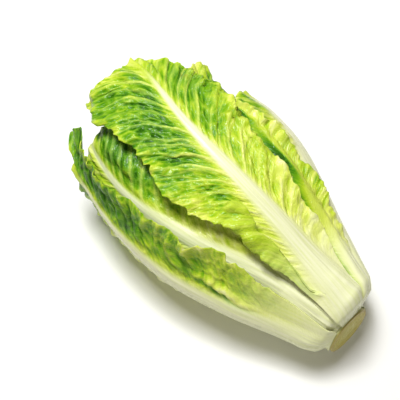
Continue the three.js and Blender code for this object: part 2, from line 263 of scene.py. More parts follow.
def heart_leaf(i):
    share = i / (HEART_LEAVES - 1)
    start = HEART["first_start"] + (HEART["last_start"] - HEART["first_start"]) * share
    end = HEART["first_tip"] + (HEART["last_tip"] - HEART["first_tip"]) * share
    spread = [HEART["spread"] * 0.8, HEART["spread"], HEART["spread"]]
    tones = [0, HEART["tone"] * (1 - share) * 0.5, HEART["tone"] * (1 - share)]
    return dict(name="leaf_%02d" % (len(OUTER_LEAVES) + i + 1), start=start, length=end - start,
                rib=[HEART["first_angle"] + GOLDEN_ANGLE * i] * 2, plus=spread, minus=spread,
                tip=(0.2, 0.2), flare=(0, 0, 0), ruffle=3, waves=13, turn=i * 1.7, ragged=0.7,
                grid=(70, 36), pale=(0, 0), tones=(tones, tones))


WHOLE_RIB = (0.9, 1.1)
NO_CUT = (0, 1, 0)
USUAL = {"airy": OUTER_AIRY, "ribs": OUTER_RIB, "rib_fade": WHOLE_RIB, "tip_cut": NO_CUT, "veins": 1,
         "frill": 1, "bulge": 0, "taper": 0.85, "cuts": []}
LEAVES = [{**USUAL, **leaf} for leaf in OUTER_LEAVES]
LEAVES += [{**USUAL, "ribs": HEART_RIB, "airy": 1, **heart_leaf(i)}
           for i in range(HEART_LEAVES)]
print(len(LEAVES), "leaves")

# %% [markdown]
# ## Small tools for smooth curves and seeded chance
#
# The whole head is shaped by formulas on arrays of points, so these helpers take and give arrays.
# Every random number comes from a seed or from the number of a cell, so each run is the same.

# %%
def mix(a, b, share):
    return a + (b - a) * share


def rise(x, low, high):
    """0 up to low, 1 past high, and a smooth rise between them."""
    t = np.clip((x - low) / (high - low), 0, 1)
    return t * t * (3 - 2 * t)


def hump(x, middle, half):
    """1 at the middle, falling smoothly to 0 at half a width to either side."""
    return 1 - rise(np.abs(x - middle), 0, half)


def through(points, x):
    """A smooth curve through points (x, value), in rising order of x."""
    xs, ys = np.array(points, dtype=float).T
    last = len(xs) - 1
    x = np.clip(x, xs[0], xs[-1])
    i = np.clip(np.searchsorted(xs, x, side="left") - 1, 0, last - 1)
    before = np.maximum(np.arange(last + 1) - 1, 0)
    after = np.minimum(np.arange(last + 1) + 1, last)
    slope = (ys[after] - ys[before]) / (xs[after] - xs[before])
    run = xs[i + 1] - xs[i]
    t = (x - xs[i]) / run
    return (ys[i] * (1 + 2 * t) * (1 - t) ** 2 + ys[i + 1] * t * t * (3 - 2 * t)
            + run * t * (1 - t) * (slope[i] * (1 - t) - slope[i + 1] * t))


def along(values, u):
    """A quantity given at equal steps from the base to the tip, at the shares u of the length."""
    return through([(i / (len(values) - 1), value) for i, value in enumerate(values)], u)


def ripples(x, y, size, seed, count=14):
    """Smooth random relief between about -1 and 1, made of waves about size across."""
    draw = np.random.default_rng(seed)
    heading = draw.uniform(0, 2 * np.pi, count)
    pitch = 2 * np.pi / (size * draw.uniform(0.7, 1.5, count))
    phase = draw.uniform(0, 2 * np.pi, count)
    total = np.zeros_like(x)
    for a, k, p in zip(heading, pitch, phase):
        total += np.sin(k * (x * np.cos(a) + y * np.sin(a)) + p)
    return total / math.sqrt(count)


def chance(number, row, seed):
    """A random value from 0 to 1 that belongs to a numbered cell."""
    spot = np.sin(number * 127.1 + row * 311.7 + seed * 74.7) * 43758.5453
    return spot - np.floor(spot)


def cells(x, y, seed):
    """Uneven cells about 1 across: how far a point is from their borders, and each cell's value."""
    nearest = np.full_like(x, 9.0)
    second = np.full_like(x, 9.0)
    value = np.zeros_like(x)
    for step_x in (-1, 0, 1):
        for step_y in (-1, 0, 1):
            column = np.floor(x) + step_x
            row = np.floor(y) + step_y
            away = np.hypot(column + mix(0.1, 0.9, chance(column, row, seed)) - x,
                            row + mix(0.1, 0.9, chance(column, row, seed + 1)) - y)
            closer = away < nearest
            second = np.where(closer, nearest, np.minimum(second, away))
            value = np.where(closer, chance(column, row, seed + 2), value)
            nearest = np.where(closer, away, nearest)
    return second - nearest, value


# %% [markdown]
# ## Where each leaf lies
#
# The radius of a leaf is worked out from the leaves inside it, so it lies over them and never runs
# through them. The gaps between leaves share the room that is left inside the head.

# %%
def stem_radius(s):
    share = np.clip((s - BUTT_LENGTH) / (STEM_LENGTH - BUTT_LENGTH), 0, 1)
    return mix(STEM_TIP_RADIUS, BUTT_RADIUS, np.sqrt(1 - share * share))


def cut_edge(height):
    """How far along the head the slanting cut is, at a height above the head's axis."""
    return math.tan(CUT_SLANT) * height - CUT_OUT


def core_radius(s):
    return np.maximum(stem_radius(s), HEART_RADIUS) + CLEARANCE


def head_radius(angle, s):
    """The radius of the whole head, without the ribs that stand out of it."""
    flatness = rise(s, 0, ROUND_NECK_LENGTH)
    upper = np.cos(angle) > 0
    height = mix(1, np.where(upper, TOP_HEIGHT, BOTTOM_HEIGHT), flatness)
    power = mix(2, np.where(upper, 2, BOTTOM_SQUARENESS), flatness)
    side = np.where(np.sin(angle) > 0, mix(PLUS_SIDE["neck"], PLUS_SIDE["belly"], flatness), 1)
    across = (np.abs(np.sin(angle)) / side) ** power
    upright = (np.abs(np.cos(angle)) / height) ** power
    return through(PROFILE, s) * (across + upright) ** (-1 / power)


def rest_radius(angle, s):
    """The radius at which the surface that the head lies on is met."""
    below = -np.cos(angle) * math.cos(LEAN)
    reach = (REST_DEPTH + s * math.sin(LEAN)) / np.maximum(below, 0.1)
    return np.where(below > 0.1, reach, 1e6)


def margin_end(leaf, v):
    return 1 - np.where(v > 0, leaf["tip"][0], leaf["tip"][1]) * np.minimum(1, np.abs(v)) ** TIP_POWER


def on_leaf(leaf, angle, s):
    """Where points of the head are on one leaf: u, v, the angle from the rib, and past the tip."""
    u = np.clip((s - leaf["start"]) / leaf["length"], 0, 1)
    from_rib = angle - np.radians(along(leaf["rib"], u))
    from_rib = np.arctan2(np.sin(from_rib), np.cos(from_rib))
    spread = np.where(from_rib > 0, along(leaf["plus"], u), along(leaf["minus"], u))
    v = from_rib / np.radians(spread)
    past_tip = s - leaf["start"] - leaf["length"] * margin_end(leaf, v)
    return u, v, from_rib, past_tip


def layer(leaf, at, s):
    """1 where the leaf lies, falling to 0 a little way past its margins, tip and base."""
    _, v, _, past_tip = at
    return ((1 - rise(np.abs(v), 1.1, 1.45)) * (1 - rise(past_tip, 9, 40))
            * rise(s, leaf["start"] - 9, leaf["start"]))


def rib_height(leaf, at, s, berth=1.0):
    """How far the midrib stands out from the blade, or with a berth, how far to keep clear of it."""
    u, _, from_rib, past_tip = at
    ribs = leaf["ribs"]
    half = berth * mix(ribs["tip_half"], ribs["half"], (1 - u) ** 1.25)
    reach = np.abs(from_rib) * through(PROFILE, s) / half
    tall = mix(ribs["tip_depth"], ribs["depth"], (1 - u) ** 1.3)
    tall = tall * mix(0.35, 1, rise(s - leaf["start"], 0, 10))
    return tall * np.maximum(0, 1 - reach * reach) ** 1.5 * (1 - rise(past_tip, 0, 12))


def blade_thickness(at):
    return mix(BASE_BLADE, BLADE, rise(at[0], 0, 0.35))


def bed_of(k, angle, s):
    """The radius leaf number k lies at, the gap to the next leaf, and how bare its surface is."""
    hollow = HOLLOW + TIP_HOLLOW * rise(s, 150, 250)
    gaps = hollow.copy()
    solid = np.zeros_like(s)
    standing = np.zeros_like(s)
    bare = np.ones_like(s)
    inside = []
    for j, leaf in enumerate(LEAVES):
        at = on_leaf(leaf, angle, s)
        share = layer(leaf, at, s)
        if j == k:
            bare_here = bare.copy()
        rib = rib_height(leaf, at, s, RIB_BERTH)
        blade = blade_thickness(at)
        gaps += leaf["airy"] * share * (1 - bare)
        solid += share * (blade + rib * (1 - bare))
        standing += share * bare * rib_height(leaf, at, s)
        if j > k:
            inside.append((share, blade + rib, leaf["airy"]))
        bare *= 1 - share
    core = core_radius(s)
    outside = np.minimum(head_radius(angle, s), rest_radius(angle, s) - standing)
    gap = np.maximum(0, (outside - core - solid) / gaps)
    radius = core + hollow * gap
    for share, thick, airy in inside:
        radius += share * (thick + np.maximum(CLEARANCE, airy * gap))
    return radius, np.maximum(CLEARANCE, LEAVES[k]["airy"] * gap), bare_here


# %% [markdown]
# ## Side veins and blisters
#
# Side veins leave the midrib at a slant, bend towards the tip, fork on the way and fade out before
# the margin. They could be drawn one by one as curves, but a formula is easier to keep even: `slant`
# is a distance measured across the veins, so each vein is a line of equal slant. Every vein has a
# place and a strength of its own. Between them the blade is a net of small raised borders round
# shallow dishes.

# %%
VEIN_STEP = 11.0
VEIN_BEND = 4.2
VEIN_POWER = 0.62
DISH_SIZE = (3.9, 8.5)


def venation(s, across, seed):
    distance = np.abs(across)
    side = np.where(across > 0, 1.0, 0.0)
    slant = s - VEIN_BEND * distance ** VEIN_POWER + 2.2 * ripples(s, across, 40, seed) + 3.7 * side
    phase = slant / VEIN_STEP
    wide = mix(2.3, 0.8, np.clip(distance / 32, 0, 1))
    veins = np.zeros_like(s)
    for step in (-1, 0, 1):
        number = np.floor(phase) + step
        row = seed + 5 * side
        middle = number + mix(0.2, 0.8, chance(number, row, 1))
        strong = mix(0.5, 1, chance(number, row, 2)) * (1 - 0.6 * rise(distance, 14, 55))
        veins = np.maximum(veins, strong * np.exp(-((phase - middle) * VEIN_STEP / wide) ** 2))
        fork = mix(5, 20, chance(number, row, 3))
        turn = np.where(chance(number, row, 4) > 0.5, 0.45, -0.45) * rise(distance, fork, fork + 26)
        branch = 0.7 * strong * rise(distance, fork, fork + 5)
        veins = np.maximum(veins, branch * np.exp(-((phase - middle - turn) * VEIN_STEP / wide) ** 2))
    border, value = cells(slant / DISH_SIZE[0], distance / DISH_SIZE[1] + 40 * side, seed)
    return slant, veins, border, value


# %% [markdown]
# ## Margins
#
# A romaine leaf ends in small pointed teeth on wider lobes, here and there torn. The margin grows
# faster than the leaf, so it has to frill: it stands up in waves that get smaller towards the edge.

# %%
TOOTH = 8.0
TOOTH_DEPTH = 1.9
LOBE = 24.0
LOBE_DEPTH = 2.2
MEAN_CUT = 1.9
FRILL = 12.5
FRILL_HEIGHT = 2.3
FRILL_REACH = 15
FINE_FRILL = 5.2
FINE_FRILL_HEIGHT = 0.9
FINE_FRILL_REACH = 6


def raggedness(x, seed):
    """How far the margin is cut back, in millimetres, at a distance x along it."""
    still = np.zeros_like(x)
    wander = x + 2.2 * ripples(x, still, 19, seed)
    points = np.abs(np.sin(np.pi * wander / TOOTH))
    points = points * mix(0.4, 1, chance(np.floor(wander / TOOTH), 0, seed))
    lobes = 0.5 + 0.5 * ripples(x, still, LOBE, seed + 1)
    return TOOTH_DEPTH * points + LOBE_DEPTH * np.clip(lobes, 0, 1.2)


def torn(leaf, v, s):
    """The deeper notches that a leaf lists, in millimetres."""
    depth = np.zeros_like(s)
    for side, place, half, deep in leaf["cuts"]:
        depth += deep * hump(s, place, half) * (np.sign(v) == side)
    return depth


def frill(x, to_margin, seed):
    """Waves of a free margin, in millimetres. to_margin is 0 at the margin."""
    still = np.zeros_like(x)
    wander = x + 3 * ripples(x, still, 37, seed)
    wide = (0.5 + 0.5 * np.sin(2 * np.pi * wander / FRILL)) * (1 - rise(to_margin, 1, FRILL_REACH))
    fine = 0.5 + 0.5 * np.sin(2 * np.pi * wander / FINE_FRILL)
    fine = fine * (1 - rise(to_margin, 0, FINE_FRILL_REACH))
    uneven = 0.6 + 0.4 * ripples(x, still, 50, seed + 2)
    return FRILL_HEIGHT * wide * uneven + FINE_FRILL_HEIGHT * fine


# %% [markdown]
# ## Two special places
#
# The margin of the top leaf is folded for a stretch on its left side: the blade runs out under the
# fold, comes back over itself to a crest, and runs out again to the margin. `crest` gives the crest's
# place across the leaf at places along it. The leaf at the lower left has a crumpled pleat, a ridge
# that runs along it, paler on its crest and with painted shade in a narrow band beside it.

# %%
FOLDED = {"leaf": "leaf_02", "from": 0.09, "to": 0.465, "under": 0.5, "over": 0.62, "overlap": 0.11,
          "height": 4.5, "crest": [(0, 0.9), (0.08, 0.85), (0.15, 0.82), (0.2, 0.68), (0.28, 0.58),
                                   (0.32, 0.63), (0.35, 0.7), (0.37, 0.58), (0.4, 0.45), (0.45, 0.34)]}
PLEAT = {"leaf": "leaf_01", "across": -0.36, "half": 0.1, "middle": 0.31, "reach": 0.15, "height": 3.0}


def fold_margin(leaf, v, flat_v, us):
    """The folded margin: where across the leaf a point goes, its lift, and 1 on the outer strip."""
    if leaf["name"] != FOLDED["leaf"]:
        return flat_v, np.zeros_like(v), np.zeros_like(v)
    under, over = FOLDED["under"], FOLDED["over"]
    crest = through(FOLDED["crest"], us)
    deepest = crest + FOLDED["overlap"]
    last = np.clip((v - over) / (1 - over), 0, 1)
    margin = flat_v * (1 + 0.16 * hump(us, 0.33, 0.1))
    folded = np.where(v < under, v / under * deepest,
                      np.where(v < over, mix(deepest, crest, (v - under) / (over - under)),
                               mix(crest, margin, last)))
    window = rise(us, FOLDED["from"], FOLDED["from"] + 0.05)
    window = window * (1 - rise(us, FOLDED["to"] - 0.02, FOLDED["to"]))
    lift = FOLDED["height"] * rise(v, under, over) * (1 - 0.7 * last)
    return (np.where(v > 0, mix(flat_v, folded, window), flat_v), lift * window,
            window * rise(v, under, over))


def pleat(leaf, v, us, s):
    if leaf["name"] != PLEAT["leaf"]:
        return np.zeros_like(v), np.zeros_like(v)
    middle = PLEAT["across"] + 0.04 * ripples(s, v * 0, 30, 7)
    window = hump(us, PLEAT["middle"], PLEAT["reach"]) * (0.8 + 0.16 * ripples(s, v * 0, 6, 8))
    crest = hump(v, middle, PLEAT["half"])
    # The second value makes the crest paler and paints shade in a narrow band beside it, towards the rib.
    return PLEAT["height"] * crest * window, window * (0.4 * crest - hump(v, middle + PLEAT["half"], 0.09))


# %% [markdown]
# ## The shape and the marks of one leaf
#
# `leaf_field` works out, for every point of the grid, where both faces of the blade go and what the
# leaf looks like there. The coarse form gives a surface, and the blade gets its thickness and its
# fine relief along that surface's own normal, so that steep frills don't get thin. The marks that the
# materials read are kept on the mesh: how much of a point is rib and how much is side vein, how green
# the blade is, with painted shade in its hollows, beside the pleat and under an overlapping margin,
# and how brown it has gone. `lay` keeps millimetres across and along the leaf, and the slant, for
# patterns that follow the veins.

# %%
SKIRT = 1.2
FILL_ROUNDS = 14
FILL_MOST = 2.0
MARGIN_BLADE = 0.55
WHITE_HALF = (2.2, 15)
TAPER = (0.4, 0.88)
BULGE_ALONG = (0.25, 0.75)
BULGE_END = (0.82, 1)
BULGE_ACROSS = (0.2, 0.8)
FOLD_SIZE = 13
FOLD_HEIGHT = 1.6
CRUMPLE_SIZE = 4.4
RELIEF = {"vein": 0.9, "net": 0.2, "dish": 0.7, "cell": 0.4, "crumple": 0.3}
GROOVE_SIZE = 3.4
GROOVE_DEPTH = 0.16
STAINS = {"leaf_01": [(0.21, 0.13, 0.03, 0.03, 1), (0.165, 0.2, 0.03, 0.035, 1),
                      (0.12, 0.3, 0.02, 0.04, 0.8)],
          "leaf_02": [(0.84, -0.62, 0.012, 0.04, 0.6)]}
# The spots below are painted shade: dark green on leaf_04 along the slit under the top leaf's margin,
# where the deep gap lies in shade.
PAINTED_SHADE_SPOTS = {"leaf_04": [(0.88, 0.02, 0.07, 0.16, 0.9), (0.62, 0.04, 0.1, 0.1, 0.9),
                      (0.36, 0.14, 0.2, 0.07, 0.5), (0.12, 0.2, 0.1, 0.07, 0.4)]}


def spots(table, leaf, us, v):
    """The sum of soft spots that a table lists for a leaf: place, size along and across, strength."""
    total = np.zeros_like(v)
    for middle, place, long, wide, strength in table.get(leaf["name"], []):
        total += strength * np.exp(-((us - middle) / long) ** 2 - ((v - place) / wide) ** 2)
    return total


def fill_valleys(radius, bare):
    """Fills narrow hollows of a bare surface, which the leaves inside it would leave."""
    filled = radius
    for _ in range(FILL_ROUNDS):
        padded = np.pad(filled, 2, mode="edge")
        rows = sum(padded[i:i + filled.shape[0]] for i in range(5)) / 5
        filled = np.maximum(filled, sum(rows[:, i:i + filled.shape[1]] for i in range(5)) / 5)
    return radius + np.minimum(filled - radius, FILL_MOST) * bare


def surface_normals(place):
    """Unit normals of a grid of points, pointing away from the axis of the head."""
    normal = np.cross(np.gradient(place, axis=0), np.gradient(place, axis=1))
    normal /= np.maximum(np.linalg.norm(normal, axis=2, keepdims=True), 1e-9)
    return normal


def leaf_field(k, v, u):
    leaf = LEAVES[k]
    seed = 100 + 10 * k
    s = leaf["start"] + leaf["length"] * u * margin_end(leaf, v)
    us = (s - leaf["start"]) / leaf["length"]
    spread = np.where(v > 0, along(leaf["plus"], us), along(leaf["minus"], us))
    half_width = np.radians(spread) * through(PROFILE, s)

    # ragged and torn margins
    ragged = leaf["ragged"] * (raggedness(s + 300 * (v > 0), seed) - MEAN_CUT * (1 - rise(us, 0.85, 0.98)))
    cut = ragged * rise(us, 0.08, 0.3) + torn(leaf, v, s)
    inwards = np.clip(cut / np.maximum(half_width, 8), -0.1, 0.6)
    flat_v = v * (1 - inwards * rise(np.abs(v), 0.45, 1))
    tip_cut = leaf["ragged"] * raggedness(v * half_width, seed + 3)
    tip_cut = tip_cut + leaf["tip_cut"][2] * rise(v, leaf["tip_cut"][0], leaf["tip_cut"][1])
    s = s - tip_cut * rise(u, 0.8, 1)
    flat_v, folded_lift, strip = fold_margin(leaf, v, flat_v, us)

    # the skirt carries the base of an outer leaf down over the stem, almost to the cut
    angle = np.radians(along(leaf["rib"], us) + flat_v * spread)
    skirt = np.zeros_like(s)
    if k < len(OUTER_LEAVES):
        skirt = leaf["start"] - cut_edge(BUTT_RADIUS * np.cos(angle)) - SKIRT - 0.25 * k
        skirt = skirt * (1 - 0.6 * np.abs(v) ** 3)
    s = s - skirt * (1 - rise(u, 0, 0.05))

    bed_s = np.maximum(s, leaf["start"])
    radius, gap, bare = bed_of(k, angle, bed_s)
    radius = fill_valleys(radius, bare)
    at = on_leaf(leaf, angle, bed_s)
    across = flat_v * half_width
    distance = np.abs(across)

    # the raised and ruffled margin, as in the plain solid
    side = np.where(v > 0, leaf["flare"][0], leaf["flare"][1])
    margin = rise(np.abs(v), 0.35, 1)
    flare = side * margin * margin * rise(u, 0.12, 0.4) + leaf["flare"][2] * rise(u, 0.72, 1) ** 2
    around = np.arctan2(v, 1.3 * (u - 0.5))
    edge = np.maximum(rise(np.abs(v), 0.5, 1) * rise(u, 0.12, 0.4), rise(u, 0.8, 1))
    wave = 0.5 + 0.5 * np.sin(leaf["waves"] * around + leaf["turn"])
    covered = np.minimum(leaf["ruffle"], 0.45 * (gap - CLEARANCE))
    lift = flare * bare + mix(covered, leaf["ruffle"] * 0.7, bare) * edge * wave

    # finer frills, folds and the pleat
    room = np.clip((gap - CLEARANCE) / 8, 0, 1) * 0.5
    free = mix(room, 1, bare)
    to_side = (1 - np.abs(v)) * half_width
    to_tip = (1 - u) * leaf["length"]
    to_edge = np.minimum(to_side, to_tip)
    frills = frill(s + 300 * (v > 0), to_side, seed + 4) * rise(us, 0.1, 0.35) * (1 - rise(u, 0.9, 1))
    frills = frills + frill(across * 1.3, to_tip, seed + 5) * rise(u, 0.7, 0.95)
    lift += free * leaf["frill"] * frills
    rib_half = mix(*WHITE_HALF, np.clip(1 - us, 0, 1) ** 1.6)
    pale = np.where(v > 0, leaf["pale"][0], leaf["pale"][1]) * (1 - leaf["taper"] * rise(us, *TAPER))
    beside = rise(distance, rib_half * 0.6 + pale * 0.6, rib_half * 1.3 + pale)
    blade = beside * rise(us, 0.1, 0.4)
    slant, veins, border, value = venation(s, across, seed + 1)
    folds = ripples(slant, distance * 0.3, FOLD_SIZE, seed + 6)
    folds = folds * rise(distance, rib_half, rib_half + 18)
    crumple = ripples(slant, distance * 0.45, CRUMPLE_SIZE, seed + 9)
    lift += blade * free * FOLD_HEIGHT * np.maximum(-0.5, folds)
    pleat_lift, pleat_pale_and_shade = pleat(leaf, v, us, s)
    bulge = leaf["bulge"] * rise(us, *BULGE_ALONG) * (1 - rise(us, *BULGE_END))
    bulge = bulge * (1 - rise(v, *BULGE_ACROSS))
    lift += pleat_lift + folded_lift + bulge

    root = rise(s - leaf["start"] + 0.6 * skirt * bare, 0, ROOT_LENGTH)
    base = stem_radius(s) + np.where(k < len(OUTER_LEAVES), 0.3 + 0.1 * (len(OUTER_LEAVES) - k), CLEARANCE)
    radius = mix(base, radius + lift, root)
    coarse = np.stack([s, radius * np.sin(angle), radius * np.cos(angle)], axis=-1)
    normal = surface_normals(coarse)
    outwards = np.stack([np.zeros_like(s), np.sin(angle), np.cos(angle)], axis=-1)

    # fine relief: raised veins and borders round shallow dishes, and a grooved rib
    net = 1 - rise(border, 0, 0.3)
    dish = rise(border, 0.05, 0.75)
    veins = veins * beside * leaf["veins"] * (1 - 0.6 * strip)
    relief = (RELIEF["vein"] * veins + RELIEF["net"] * net - RELIEF["dish"] * dish
              + RELIEF["cell"] * (value - 0.5) + RELIEF["crumple"] * crumple)
    relief = blade * mix(0.35, 1, free) * mix(0.45, 1, rise(to_edge, 2, 14)) * (1 - 0.6 * strip) * relief
    grooves = ripples(across, s * 0.06, GROOVE_SIZE, seed + 7)
    relief = relief + (1 - beside) * GROOVE_DEPTH * grooves * (1 - rise(us, 0.3, 0.9))
    thin = 1 - rise(to_edge, 0, 9)
    plain = mix(blade_thickness(at), MARGIN_BLADE, thin * rise(us, 0.15, 0.4))
    thick = mix(0.12 + ROOT_EDGE * rise(s, leaf["start"] - 3, leaf["start"]), plain, root)
    outer = coarse + normal * (thick + relief * root)[..., None]
    outer += outwards * (rib_height(leaf, at, bed_s) * root)[..., None]
    inner = coarse + normal * (0.5 * np.maximum(-0.6, relief) * root * blade)[..., None]
    outer[..., 0] = np.maximum(outer[..., 0], cut_edge(outer[..., 2]) + SKIRT * 0.4)

    tones = np.where(v > 0, along(leaf["tones"][0], us), along(leaf["tones"][1], us))
    # Painted shade: the listed dark spots, where a leaf lies in the shade under the margin of the leaf
    # over it.
    shade = spots(PAINTED_SHADE_SPOTS, leaf, us, v)
    tones = tones * mix(0.35, 1, rise(distance, rib_half * 0.6, rib_half + mix(16, 7, us))) + shade
    # Random blotches and tone per cell, plus painted shade: darker in the dish hollows and in the low
    # parts of folds and crumples, lighter on their tops.
    blotches_and_hollow_shade = (0.12 * ripples(s, across, 30, seed + 8) + 0.24 * (value - 0.5) + 0.3 * (dish - 0.5)
                - 0.1 * crumple - 0.12 * folds)
    tone = tones + 0.7 * blade * (0.3 + tones) * blotches_and_hollow_shade
    tone = tone - tones * (0.2 * (1 - rise(to_edge, 0.5, 6)) + 0.18 * (1 - rise(to_edge, 5, 16)))
    # The pleat is paler along its crest, with painted shade in a band beside it.
    tone = np.maximum(tone - 0.6 * pleat_pale_and_shade, 0.34 * strip)
    rib = rise(distance, rib_half * 0.4 + pale * 0.7, rib_half * 1.3 + pale)
    rib = 1 - rib * mix(0.35, 1, rise(us, 0.04, 0.35))
    # No white of the rib under the painted shade.
    rib = rib * (1 - rise(us, *leaf["rib_fade"])) * (1 - np.clip(shade * 2, 0, 1))
    vein = np.maximum(veins, 0.15 * net * blade)
    stain = spots(STAINS, leaf, us, v)
    marks = np.clip(np.stack([rib, vein, tone, stain], axis=-1), 0, 1)
    lay = np.stack([across, s, slant], axis=-1)
    return inner, outer, marks, lay


# %% [markdown]
# The head leans so that its tips stand higher than its butt, and it rests on the surface.

# %%
low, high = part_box("stem")
SHIFT_X = low[0] / MM - cut_edge(-BUTT_RADIUS) * math.cos(LEAN) - BUTT_RADIUS * math.sin(LEAN)
SHIFT_Y = (low[1] + high[1]) / 2 / MM


def settle(place):
    """From the head's own axes, in millimetres, to the resting head in metres."""
    s, y, z = np.moveaxis(place, -1, 0)
    x_out = s * math.cos(LEAN) - z * math.sin(LEAN) + SHIFT_X
    z_out = np.maximum(0, s * math.sin(LEAN) + z * math.cos(LEAN) + REST_DEPTH)
    return np.stack([x_out, y + SHIFT_Y, z_out], axis=-1) * MM


# %% [markdown]
# ## From a flat grid to a leaf
#
# The slab is a grid that is extruded once, so it is closed all round. Its points are numbered by
# their row and column on the flat grid, which is how each finds its place in the worked-out arrays.
# Laid on the head, the grid is a mirror image: its first axis runs to +Y and its second to +X. That
# turns a shape inside out, so the faces are reversed while it is flat, and point outwards in the end.

# %%
def share_rows(t):
    """Rows closer together at the base and at the tip."""
    return t - 0.03 * np.sin(2 * np.pi * t)


def flat_slab(name, rows, columns):
    slab = bmesh.new()
    bmesh.ops.create_grid(slab, x_segments=columns, y_segments=rows, size=1)
    raised = bmesh.ops.extrude_face_region(slab, geom=slab.faces[:], use_keep_orig=True)
    top = [item for item in raised["geom"] if isinstance(item, bmesh.types.BMVert)]
    bmesh.ops.translate(slab, vec=(0, 0, 1), verts=top)
    bmesh.ops.recalc_face_normals(slab, faces=slab.faces[:])
    bmesh.ops.reverse_faces(slab, faces=slab.faces[:])
    mesh = bpy.data.meshes.new(name)
    slab.to_mesh(mesh)
    slab.free()
    return mesh


def add_marks(mesh, marks, lay):
    attribute = mesh.color_attributes.new("marks", "FLOAT_COLOR", "POINT")
    attribute.data.foreach_set("color", marks.ravel())
    attribute = mesh.attributes.new("lay", "FLOAT_VECTOR", "POINT")
    attribute.data.foreach_set("vector", lay.ravel())


def make_leaf(k):
    leaf = LEAVES[k]
    rows, columns = leaf["grid"]
    mesh = flat_slab(leaf["name"] + "_blade", rows, columns)
    flat = np.empty(len(mesh.vertices) * 3)
    mesh.vertices.foreach_get("co", flat)
    x, y, top = flat.reshape(-1, 3).T
    column = np.rint((x + 1) / 2 * columns).astype(int)
    row = np.rint((y + 1) / 2 * rows).astype(int)

    u, v = np.meshgrid(share_rows(np.linspace(0, 1, rows + 1)), np.linspace(-1, 1, columns + 1),
                       indexing="ij")
    inner, outer, marks, lay = leaf_field(k, v, u)
    place = np.where(top[:, None] > 0.5, outer[row, column], inner[row, column])
    mesh.vertices.foreach_set("co", settle(place).ravel())
    add_marks(mesh, marks[row, column], lay[row, column])

    corner = np.empty(len(mesh.loops), dtype=np.int32)
    mesh.loops.foreach_get("vertex_index", corner)
    uv = np.stack([0.5 + 0.5 * x, 0.5 + 0.5 * y], axis=1)[corner]
    mesh.uv_layers.new(name="leaf").data.foreach_set("uv", uv.ravel())
    mesh.polygons.foreach_set("use_smooth", np.ones(len(mesh.polygons), dtype=bool))
    mesh.update()
    blade = bpy.data.objects.new(leaf["name"] + "_blade", mesh)
    bpy.context.scene.collection.objects.link(blade)
    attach(blade, "root")
    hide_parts(leaf["name"])
    return blade


# %% [markdown]
# ## Leaf tissue
#
# Both leaf materials share one node group. It turns the marks into colour: a ramp runs from cream
# through yellow green to dark green, side veins and a fine net of veinlets are paler, and the rib is
# cream with long streaks. The veinlets and streaks are drawn in the `lay` millimetres, so they follow
# the leaf. The same patterns give the height for a bump and a little change of gloss.

# %%
GREENS = [(0.0, (0.80, 0.81, 0.40)), (0.12, (0.65, 0.72, 0.11)), (0.3, (0.42, 0.57, 0.022)),
          (0.54, (0.165, 0.37, 0.004)), (0.8, (0.055, 0.21, 0.0025)), (1.0, (0.02, 0.09, 0.0015))]
RIB_COLOUR = (0.78, 0.79, 0.53, 1)
STREAK_COLOUR = (0.64, 0.69, 0.28, 1)
VEIN_COLOUR = (0.74, 0.80, 0.36, 1)
BROWN = (0.22, 0.09, 0.02, 1)


def wire(tree, kind, inputs, **settings):
    """Adds a node, sets what it is given, and joins each input that is another node's output."""
    node = tree.nodes.new(kind)
    for name, value in settings.items():
        setattr(node, name, value)
    for name, value in inputs.items():
        if isinstance(value, bpy.types.NodeSocket):
            tree.links.new(value, node.inputs[name])
        else:
            node.inputs[name].default_value = value
    return node


def math_node(tree, operation, first, second=0.0):
    node = tree.nodes.new("ShaderNodeMath")
    node.operation = operation
    for socket, value in zip(node.inputs, (first, second)):
        if isinstance(value, bpy.types.NodeSocket):
            tree.links.new(value, socket)
        else:
            socket.default_value = value
    return node.outputs[0]


def blend_colour(tree, share, first, second):
    node = wire(tree, "ShaderNodeMix", {}, data_type="RGBA")
    for name, value in (("Factor", share), ("A", first), ("B", second)):
        if isinstance(value, bpy.types.NodeSocket):
            tree.links.new(value, node.inputs[name])
        else:
            node.inputs[name].default_value = value
    return node.outputs["Result"]


def stretched(tree, across, long):
    return wire(tree, "ShaderNodeCombineXYZ", {"X": across, "Y": long}).outputs["Vector"]


def noise(tree, place, scale, detail):
    settings = {"Vector": place, "Scale": scale, "Detail": detail}
    return wire(tree, "ShaderNodeTexNoise", settings).outputs["Fac"]


def spread_over(tree, value, low, high, first=0.0, last=1.0):
    """Turns low..high of a value into first..last."""
    return wire(tree, "ShaderNodeMapRange", {"Value": value, "From Min": low, "From Max": high,
                                             "To Min": first, "To Max": last}).outputs["Result"]


def read_mark(tree, name):
    return wire(tree, "ShaderNodeAttribute", {}, attribute_name=name)


